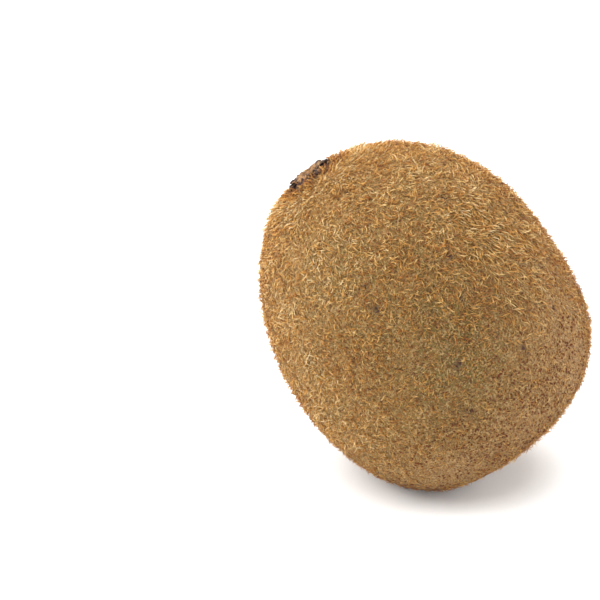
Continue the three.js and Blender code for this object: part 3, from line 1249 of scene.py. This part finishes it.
@dataclass
class Coat:
    """The coat of dried hairs, short down and longer strands, grown by Geometry Nodes."""

    form: FruitForm
    finish: DriedHair = field(default_factory=DriedHair)
    density: float = 10.0
    length: float = 1.45
    down_length: float = 0.85
    spread: tuple[float, float] = (0.55, 1.35)
    tilt: tuple[float, float] = (1.1, 1.55)
    wisp_tilt: float = 0.7
    rise_by: float = 0.6
    swirl_size: float = 3.2
    stray: float = 2.0
    comb_stray: float = 0.5
    roll: float = 0.8
    root_depth: float = 0.05
    tint_spread: float = 0.29
    down_tint: float = -0.1
    down_spread: float = 0.4
    floor_gap: float = 0.03
    seed: int = 7
    # Hairs up to 0.1 mm thick, drawn 0.14 mm thick so that single ones show
    down: tuple[Strand, ...] = (
        Strand("down_a", ((0.16, 0.1, 0.5),), (0.0, -0.02, 1.0), 0.075),
        Strand("down_b", ((-0.05, 0.05, 0.6),), (0.32, 0.1, 0.88), 0.07),
        Strand("down_c", ((0.12, 0.14, 0.42),), (0.36, 0.05, 0.9), 0.08),
        Strand("down_d", ((-0.1, 0.02, 0.5),), (-0.14, 0.24, 0.95), 0.07),
        Strand("down_e", ((-0.14, 0.09, 0.4),), (0.1, 0.16, 0.92), 0.085),
    )
    long: tuple[Strand, ...] = (
        Strand("hair_bow", ((0.12, 0.06, 0.33), (0.12, 0.03, 0.68)), (0.0, -0.06, 1.0), 0.049),
        Strand("hair_hook", ((0.0, 0.08, 0.36), (0.13, 0.09, 0.72)), (0.36, 0.04, 0.95), 0.047),
        Strand("hair_wave", ((-0.1, 0.09, 0.33), (0.03, 0.14, 0.68)), (0.04, 0.22, 1.0), 0.046),
    )

    def inputs(self) -> dict[str, Any]:
        """Names and values of the tree's inputs, lengths in metres."""
        lean = math.radians(self.form.lean)
        return {
            "Strands": None,
            "Kinds": len(self.down) + len(self.long),
            "Down Kinds": len(self.down),
            "From": 0.0,
            "To": 0.0,
            "Density": self.density / MM**2,
            "Length": self.length * MM,
            "Down Length": self.down_length * MM,
            "Shortest": self.spread[0],
            "Longest": self.spread[1],
            "Least Tilt": self.tilt[0],
            "Most Tilt": self.tilt[1],
            "Wisp Tilt": self.wisp_tilt,
            "Rise By": -self.rise_by,
            "Stem Way": (-math.cos(lean), 0.0, math.sin(lean)),
            "Swirl Size": self.swirl_size * MM,
            "Stray": self.stray,
            "Comb Stray": self.comb_stray,
            "Roll": self.roll,
            "Root Depth": self.root_depth * MM,
            "Tint Spread": self.tint_spread,
            "Down Tint": self.down_tint,
            "Down Spread": self.down_spread,
            "Floor Gap": self.floor_gap * MM,
            "Seed": self.seed,
        }

    def grow(
        self,
        band: Band,
        skin: bpy.types.Object,
        tree: bpy.types.NodeTree,
        strands: bpy.types.Collection,
    ) -> bpy.types.Object:
        """Grows one stretch of the coat as a plain mesh.

        Args:
            band: the stretch.
            skin: the piece that the hairs grow on.
            tree: the tree that grows them.
            strands: the hairs to copy.

        Returns:
            The piece.
        """
        host = bpy.data.objects.new("host", skin.data)
        bpy.context.scene.collection.objects.link(host)
        grower = host.modifiers.new("coat", "NODES")
        grower.node_group = tree
        start, end = band.value
        values = self.inputs() | {"Strands": strands, "From": start, "To": end}
        for item in tree.interface.items_tree:
            if item.item_type == "SOCKET" and item.name in values and item.in_out == "INPUT":
                grower[item.identifier] = values[item.name]
        graph = bpy.context.evaluated_depsgraph_get()
        mesh = bpy.data.meshes.new_from_object(
            host.evaluated_get(graph), preserve_all_data_layers=True, depsgraph=graph
        )
        host.modifiers.remove(grower)
        bpy.data.objects.remove(host)
        mesh.name = f"fuzz_{band.name.lower()}"
        strip(mesh, [*(z.value for z in Zone), *STRAND_VALUES])
        mesh.polygons.foreach_set("use_smooth", [True] * len(mesh.polygons))
        mesh.update()
        piece = bpy.data.objects.new(mesh.name, mesh)
        bpy.context.scene.collection.objects.link(piece)
        return piece

    def build(self, skin: bpy.types.Object) -> None:
        """Grows and dresses the whole coat.

        Args:
            skin: the piece that the hairs grow on.
        """
        material = self.finish.material()
        strands = bpy.data.collections.new("strands")
        bpy.context.scene.collection.children.link(strands)
        for strand in self.down + self.long:
            strands.objects.link(strand.build())
        tree = HairTree(self.inputs(), material).build()
        for band in Band:
            ride(self.grow(band, skin, tree, strands), material)
        for model in list(strands.objects):
            bpy.data.objects.remove(model)
        bpy.data.collections.remove(strands)
        bpy.data.node_groups.remove(tree)


@dataclass
class Spots:
    """Dark scabs in the skin's marks and the bases of rubbed-off hairs: small flat domes."""

    skin: Skin
    scabs: int = 3
    scab_radius: tuple[float, float] = (0.16, 0.34)
    bases: int = 400
    base_radius: tuple[float, float] = (0.12, 0.21)
    height: float = 0.14
    sunk: float = 0.25
    stretch: float = 1.35
    farthest: float = 0.96
    # One turn, in radians
    turn: float = 6.3
    sides: int = 7
    seed: int = 11
    scab: DriedCork = DriedCork("dark_scab", "#5C4233", "#3F2B21", "#2B1C16", 0.3)
    base: DriedCork = DriedCork("hair_base", "#7E3F20", "#5C2D17", "#3E1F11", 0.3)

    def dome(
        self, patch: Patch, away: float, turn: float, radius: float
    ) -> tuple[np.ndarray, list[tuple[int, ...]]]:
        """Shapes one dome on the skin.

        Args:
            patch: the area that it lies in.
            away: from the middle of the area.
            turn: which way from the middle, in radians.
            radius: of the dome.

        Returns:
            Its points and its faces.
        """
        form = self.skin.form
        angle = math.radians(patch.angle)
        girth = float(form.share(np.array(patch.station))) * form.half_width
        station = patch.station + away * math.cos(turn) / form.stem_reach
        station = min(max(station, -self.farthest), self.farthest)
        angle += away * math.sin(turn) / max(girth, 1.0)
        spot = form.surface(
            np.array([station, station + 0.01, station]), angle + np.array([0, 0, 0.01])
        )
        up, beside = spot[1] - spot[0], spot[2] - spot[0]
        out = np.cross(beside, up)
        out /= np.linalg.norm(out)
        up /= np.linalg.norm(up)
        beside = np.cross(up, out)
        swollen = total(self.skin.patches["swollen"], form, spot[0])
        middle = spot[0] + self.skin.swelling * swollen * out
        round_ = np.linspace(0, 2 * math.pi, self.sides, endpoint=False)
        ragged = 1 + 0.15 * np.sin(3 * round_ + 9 * away)
        lay = 7 * turn + away
        longways = math.cos(lay) * beside + math.sin(lay) * up
        crossways = math.cos(lay) * up - math.sin(lay) * beside
        rings = []
        for share, lift in ((1.0, -self.sunk), (0.95, 0.3 * self.height), (0.5, self.height)):
            flat = share * radius * ragged[:, None]
            ring = self.stretch * np.cos(round_)[:, None] * longways
            ring = ring + np.sin(round_)[:, None] / self.stretch * crossways
            rings.append(middle + flat * ring + lift * out)
        return capped(np.array(rings))

    def gather(
        self, name: str, draws: Sequence[tuple[Patch, float, float, float]]
    ) -> bpy.types.Object:
        """Makes one piece of many domes.

        Args:
            name: the piece's name.
            draws: for each dome its area, distance, turn and radius.

        Returns:
            The piece.
        """
        shell = Shell()
        for draw in draws:
            places, faces = self.dome(*draw)
            shade = 0.4 + 0.4 * grain(places, 0.3)
            shell.extend(places, faces, fissure=np.clip(shade, 0, 1))
        return shell.piece(name)

    def build(self) -> None:
        """Makes and dresses the scabs and the hair bases."""
        draw = np.random.default_rng(self.seed)
        scabs = [
            (
                mark,
                mark.radius * draw.uniform(0, 0.8),
                draw.uniform(0, self.turn),
                draw.uniform(*self.scab_radius),
            )
            for mark in self.skin.patches["mark"]
            for _ in range(self.scabs)
        ]
        ride(self.gather("scabs", scabs), self.scab.material())
        bases = [
            (
                area,
                area.radius * 1.5 * math.sqrt(draw.uniform()),
                draw.uniform(0, self.turn),
                draw.uniform(*self.base_radius),
            )
            for area in self.skin.patches["bald"]
            for _ in range(int(self.bases * area.strength))
        ]
        ride(self.gather("hair_bases", bases), self.base.material())


@dataclass
class StemEnd:
    """The button at the stem end: cracked corky pad, shredded dried sepals and the stalk's scar."""

    form: FruitForm
    pad_radius: float = 4.7
    pad_rings: int = 44
    pad_around: int = 160
    lump_size: float = 1.3
    lump_height: float = 0.22
    sepals: int = 5
    sepal_turn: float = 0.35
    sepal_root: float = 1.5
    sepal_length: float = 3.3
    shreds: int = 5
    shred_fan: float = 0.21
    shred_width: float = 0.9
    shred_thickness: float = 0.22
    shred_curl: float = 0.3
    shred_steps: tuple[int, int] = (16, 5)
    scar_radius: float = 1.8
    scar_height: float = 0.5
    cork: DriedCork = DriedCork("stalk_cork", "#A87F52", "#5E3F29", "#2E1C18", 0.4)
    leaf: DriedCork = DriedCork("dried_sepal", "#B08A60", "#5C4338", "#2A1C1A", 0.3)

    def spot(self, depth: np.ndarray, width: np.ndarray, lift: np.ndarray) -> np.ndarray:
        """Places points above the smooth stem end.

        Args:
            depth: from the axis, sideways.
            width: from the axis, the other way.
            lift: above the smooth end.

        Returns:
            Points in the frame's directions.
        """
        return self.form.place(depth, self.form.end_height(np.hypot(depth, width)) + lift, width)

    def pad(self) -> bpy.types.Object:
        """Makes the pad: corky lumps with thin deep cracks, closed under the skin."""
        away = np.linspace(0.04, 1, self.pad_rings)[:, None] * self.pad_radius
        turn = np.linspace(0, 2 * math.pi, self.pad_around, endpoint=False)[None]
        flat = np.stack(np.broadcast_arrays(away * np.cos(turn), away * np.sin(turn), 0 * turn), -1)
        bent = flat + 0.9 * grain(flat, 1.4)[..., None] + 0.25 * grain(flat, 0.4, 7.0)[..., None]
        lump = smooth_step(fissures(bent, self.lump_size), 0.03, 0.3)
        crumble = 0.24 * grain(flat, 0.55, 5.0) + 0.16 * grain(flat, 1.7, 2.0)
        ragged = 1 + 0.07 * grain(flat, 1.6, 9.0)
        top = 0.1 + self.lump_height * lump + crumble * lump + self.form.pad_height
        rim = smooth_step(away, 0.72 * self.pad_radius, self.pad_radius)
        lift = np.maximum(top, self.form.pad_height + 0.04) * (1 - rim) - 0.25 * rim
        upper = self.spot(flat[..., 1] * ragged, flat[..., 0] * ragged, lift)
        skirt = self.spot(flat[-1:, :, 1] * 0.96, flat[-1:, :, 0] * 0.96, np.full((1, 1), -0.9))
        places, faces = capped(np.concatenate([upper, skirt])[::-1])
        stain = 1.6 * np.maximum(grain(bent, 0.8, 4.0), 0) + 0.8 * smooth_step(away, 3.3, 4.4)
        dark = np.clip(1 - lump + stain, 0, 1)
        depth = np.concatenate([dark, np.ones((1, self.pad_around))])[::-1].ravel()
        shell = Shell()
        shell.extend(places, faces, fissure=np.append(depth, [1.0, depth[-1]]))
        return shell.piece("stem_pad")

    def shred(self, index: int, part: int) -> tuple[np.ndarray, list[tuple[int, ...]], np.ndarray]:
        """Shapes one shred of a dried sepal: a fibrous strip that curls up towards its torn tip.

        Args:
            index: which sepal.
            part: which of its shreds.

        Returns:
            Its points, its faces and how dark each point is.
        """
        along, across = self.shred_steps
        odd = math.sin(12.9 * index + 78.2 * part + 1.3)
        even = math.cos(37.7 * index + 11.1 * part)
        out = np.linspace(0, 1, along)[:, None]
        side = np.linspace(-1, 1, across)[None]
        seed = np.stack(np.broadcast_arrays(out * 3, side, 0 * out), -1) + 9.0 * index + 4.0 * part
        fan = (part - (self.shreds - 1) / 2) * self.shred_fan + 0.08 * odd
        turn = self.sepal_turn + (index + 0.15 * math.sin(5.3 * index)) * 2 * math.pi / self.sepals
        turn = turn + fan + 0.12 * even * out + 0.1 * grain(seed, 1.0)
        length = self.sepal_length * (0.78 + 0.3 * odd) * (1 - 0.5 * abs(fan))
        half = self.shred_width / 2 * (1 + 0.3 * even)
        ragged = 1 + 0.3 * grain(seed, 0.4, 2.0)
        half = half * np.sin(math.pi * (0.25 + 0.68 * out)) ** 0.6 * ragged
        away = self.sepal_root + length * out
        rise = self.shred_curl * (0.45 + 0.55 * even) * out**2.2
        crease = 0.16 * np.cos(2.6 * side + 5 * out + part) + 0.12 * grain(seed, 0.7, 8.0)
        lift = self.form.pad_height + 0.32 + rise + crease - 0.5 * (1 - out) ** 3
        lift = lift - 0.35 * smooth_step(away, 3.8, 5.4)
        thick = self.shred_thickness * (1 - 0.6 * out**2) * (1 - 0.5 * side**2)
        width = away * np.cos(turn) - side * half * np.sin(turn)
        depth = away * np.sin(turn) + side * half * np.cos(turn)
        upper = self.spot(depth, width, lift + thick / 2)
        lower = self.spot(depth, width, lift - thick / 2)
        places, faces = capped(np.concatenate([upper, lower[:, ::-1]], 1)[::-1])
        dark = np.clip(0.35 + 0.5 * odd + 0.5 * np.cos(4 * side + 3 * part) + 0.4 * out, 0, 1)
        shade = np.concatenate([dark, np.full_like(dark, 0.95)], 1)[::-1]
        return places, faces, np.append(shade.ravel(), [0.7, 1.0])

    def crown(self) -> bpy.types.Object:
        """Makes the ring of shredded dried sepals."""
        shell = Shell()
        for index in range(self.sepals):
            for part in range(self.shreds - (index % 2)):
                places, faces, shade = self.shred(index, part)
                shell.extend(places, faces, fissure=shade)
        return shell.piece("dried_sepals")

    def scar(self) -> bpy.types.Object:
        """Makes the scar that the stalk left: a crumbled rim round a dark hollow."""
        outline = ((1.0, -0.6), (1.08, 0.1), (1.05, 0.5), (0.95, 0.85), (0.8, 1.0), (0.66, 0.8),
                   (0.55, 0.4), (0.4, 0.15), (0.2, 0.1), (0.06, 0.12))
        around = 84
        turn = np.linspace(0, 2 * math.pi, around, endpoint=False)[None]
        away = np.array([p[0] for p in outline])[:, None] * self.scar_radius
        height = np.array([p[1] for p in outline])[:, None] * self.scar_height
        flat = np.stack(np.broadcast_arrays(away * np.cos(turn), away * np.sin(turn), height), -1)
        rough = grain(flat, 0.5, 3.0) + 0.6 * grain(flat, 0.25, 6.0)
        swell = 1 + 0.12 * np.sin(3 * turn + 1) + 0.06 * np.sin(7 * turn) + 0.14 * rough
        lift = self.form.pad_height + height + 0.2 * rough
        rings = self.spot(flat[..., 1] * swell, flat[..., 0] * swell, lift)
        places, faces = capped(rings)
        hollow = np.clip(1.2 - np.abs(away / self.scar_radius - 0.9) * 2.4 + 0 * turn, 0, 1)
        shade = np.clip(1 - hollow + 2.2 * np.maximum(-rough - 0.05, 0), 0, 1)
        shell = Shell()
        shell.extend(places, faces, fissure=np.append(shade.ravel(), [1.0, 1.0]))
        return shell.piece("stalk_scar")

    def build(self) -> None:
        """Makes and dresses the button's pieces."""
        cork = self.cork.material()
        ride(self.pad(), cork)
        ride(self.scar(), cork)
        ride(self.crown(), self.leaf.material())


@dataclass
class BlossomEnd:
    """The dried styles that the flower left in the dimple of the blossom end."""

    form: FruitForm
    rows: tuple[tuple[int, float, float, float], ...] = (
        (9, 1.55, 0.85, 0.3),
        (6, 0.9, 0.55, 0.24),
        (4, 0.5, 0.35, 0.3),
        (14, 2.0, 1.05, 0.12),
    )
    length: float = 1.9
    sunk: float = 0.8
    rings: int = 8
    sides: int = 7
    finish: DriedCork = DriedCork("dried_style", "#7A5534", "#4F3426", "#2B1D18", 0.3)

    def style(self, turn: float, radius: float, lean: float, thick: float) -> np.ndarray:
        """Shapes one dried style: a bent, withered stalk that leans outwards.

        Args:
            turn: where it stands round the axis.
            radius: how far from the axis.
            lean: how far it leans out, in radians.
            thick: its radius at the root.

        Returns:
            Its rings of points.
        """
        up = np.linspace(0, 1, self.rings)[:, None]
        length = self.length * (0.85 + 0.3 * abs(math.sin(7.7 * turn + radius)))
        reach = length * up - self.sunk
        bent = lean * (0.7 + 0.6 * up)
        out = radius + np.sin(bent) * reach
        away = -(self.form.blossom_reach + self.form.nub_height - self.form.dimple_depth)
        away = away - np.cos(bent) * reach
        round_ = np.linspace(0, 2 * math.pi, self.sides, endpoint=False)[None]
        girth = thick * (1 - 0.45 * up) * (1 + 0.2 * np.sin(3 * round_ + 9 * up + turn))
        twist = turn + 0.12 * np.sin(5 * up + 3 * turn)
        away = away + girth * np.sin(round_) * np.sin(bent)
        out = out + girth * np.sin(round_) * np.cos(bent)
        beside = girth * np.cos(round_)
        width = out * np.cos(twist) - beside * np.sin(twist)
        depth = out * np.sin(twist) + beside * np.cos(twist)
        return self.form.place(depth, away, width)

    def build(self) -> None:
        """Makes and dresses the tuft of styles."""
        shell = Shell()
        for count, radius, lean, thick in self.rows:
            for index in range(count):
                turn = 2 * math.pi * (index + 0.35 * math.sin(9.1 * index + radius)) / count
                places, faces = capped(self.style(turn, radius, lean, thick))
                places[:, 2] = np.maximum(places[:, 2], 0.02)
                shade = np.linspace(0.9, 0.1, self.rings).repeat(self.sides)
                shell.extend(places, faces, fissure=np.append(shade, [1.0, 0.0]))
        ride(shell.piece("dried_styles"), self.finish.material())


@dataclass(frozen=True)
class Softbox:
    """A round soft light that points at the fruit."""

    name: str
    place: tuple[float, float, float]
    size: float
    power: float


@dataclass
class Studio:
    """Plain white floor, soft light from above and both sides, and the camera."""

    azimuth: float = 15.0
    elevation: float = 25.0
    distance: float = 650.0
    aim: tuple[float, float, float] = (-22.74, -4.55, 33.2)
    frame_width: float = 109.09
    sensor: float = 36.0
    floor_size: float = 6000.0
    sky: float = 0.69
    softboxes: tuple[Softbox, ...] = (
        Softbox("key", (-300.0, -40.0, 1050.0), 2300.0, 36.7),
        Softbox("right_fill", (900.0, 0.0, 300.0), 700.0, 1.0),
        Softbox("rim", (680.0, 650.0, 400.0), 600.0, 4.8),
        Softbox("left_fill", (-900.0, -250.0, 350.0), 700.0, 5.2),
    )

    def direction(self) -> np.ndarray:
        """Direction from the aim point back to the camera."""
        turn, rise = math.radians(self.azimuth), math.radians(self.elevation)
        level = math.cos(rise)
        return np.array([math.sin(turn) * level, -math.cos(turn) * level, math.sin(rise)])

    def look(self, thing: bpy.types.Object, place: np.ndarray, target: np.ndarray) -> None:
        """Puts a camera or light at a place and turns it to a target.

        Args:
            thing: the camera or light.
            place: in millimetres.
            target: in millimetres.
        """
        away = Vector((target - place).tolist())
        turned = away.to_track_quat("-Z", "Y").to_matrix().to_4x4()
        thing.matrix_world = Matrix.Translation(Vector((place * MM).tolist())) @ turned
        bpy.context.scene.collection.objects.link(thing)

    def camera(self) -> None:
        """Makes the camera, which sees frame_width of the scene at the aim point."""
        lens = bpy.data.cameras.new("camera")
        lens.sensor_width = self.sensor
        lens.lens = self.sensor * self.distance / self.frame_width
        lens.clip_start, lens.clip_end = 0.01, 20.0
        camera = bpy.data.objects.new("camera", lens)
        aim = np.array(self.aim)
        self.look(camera, aim + self.direction() * self.distance, aim)
        bpy.context.scene.camera = camera

    def floor(self) -> None:
        """Makes the floor."""
        half = self.floor_size * MM / 2
        corners = [(-half, -half, 0), (half, -half, 0), (half, half, 0), (-half, half, 0)]
        mesh = bpy.data.meshes.new("floor")
        mesh.from_pydata(corners, [], [(0, 1, 2, 3)])
        floor = bpy.data.objects.new("floor", mesh)
        mesh.materials.append(WhiteAcrylic().material())
        bpy.context.scene.collection.objects.link(floor)

    def light(self) -> None:
        """Makes the soft lights and the even light from all round."""
        for box in self.softboxes:
            lamp = bpy.data.lights.new(box.name, "AREA")
            lamp.shape = "DISK"
            lamp.size = box.size * MM
            lamp.energy = box.power
            thing = bpy.data.objects.new(box.name, lamp)
            self.look(thing, np.array(box.place), np.array(self.aim))
        world = bpy.data.worlds.new("studio")
        world.use_nodes = True
        world.node_tree.nodes["Background"].inputs["Color"].default_value = linear("#FFFFFF")
        world.node_tree.nodes["Background"].inputs["Strength"].default_value = self.sky
        bpy.context.scene.world = world
        bpy.context.scene.view_settings.view_transform = "Standard"

    def build(self) -> None:
        """Makes the whole studio."""
        self.camera()
        self.floor()
        self.light()


def main() -> None:
    """Builds the studio and the fruit in order."""
    logging.basicConfig(level=logging.INFO, format="%(name)s %(message)s")
    Studio().build()
    form = FruitForm()
    skin = Skin(form)
    peel = skin.build()
    Coat(form).build(peel)
    skin.dress(peel)
    Spots(skin).build()
    StemEnd(form).build()
    BlossomEnd(form).build()


if __name__ == "__main__":
    main()
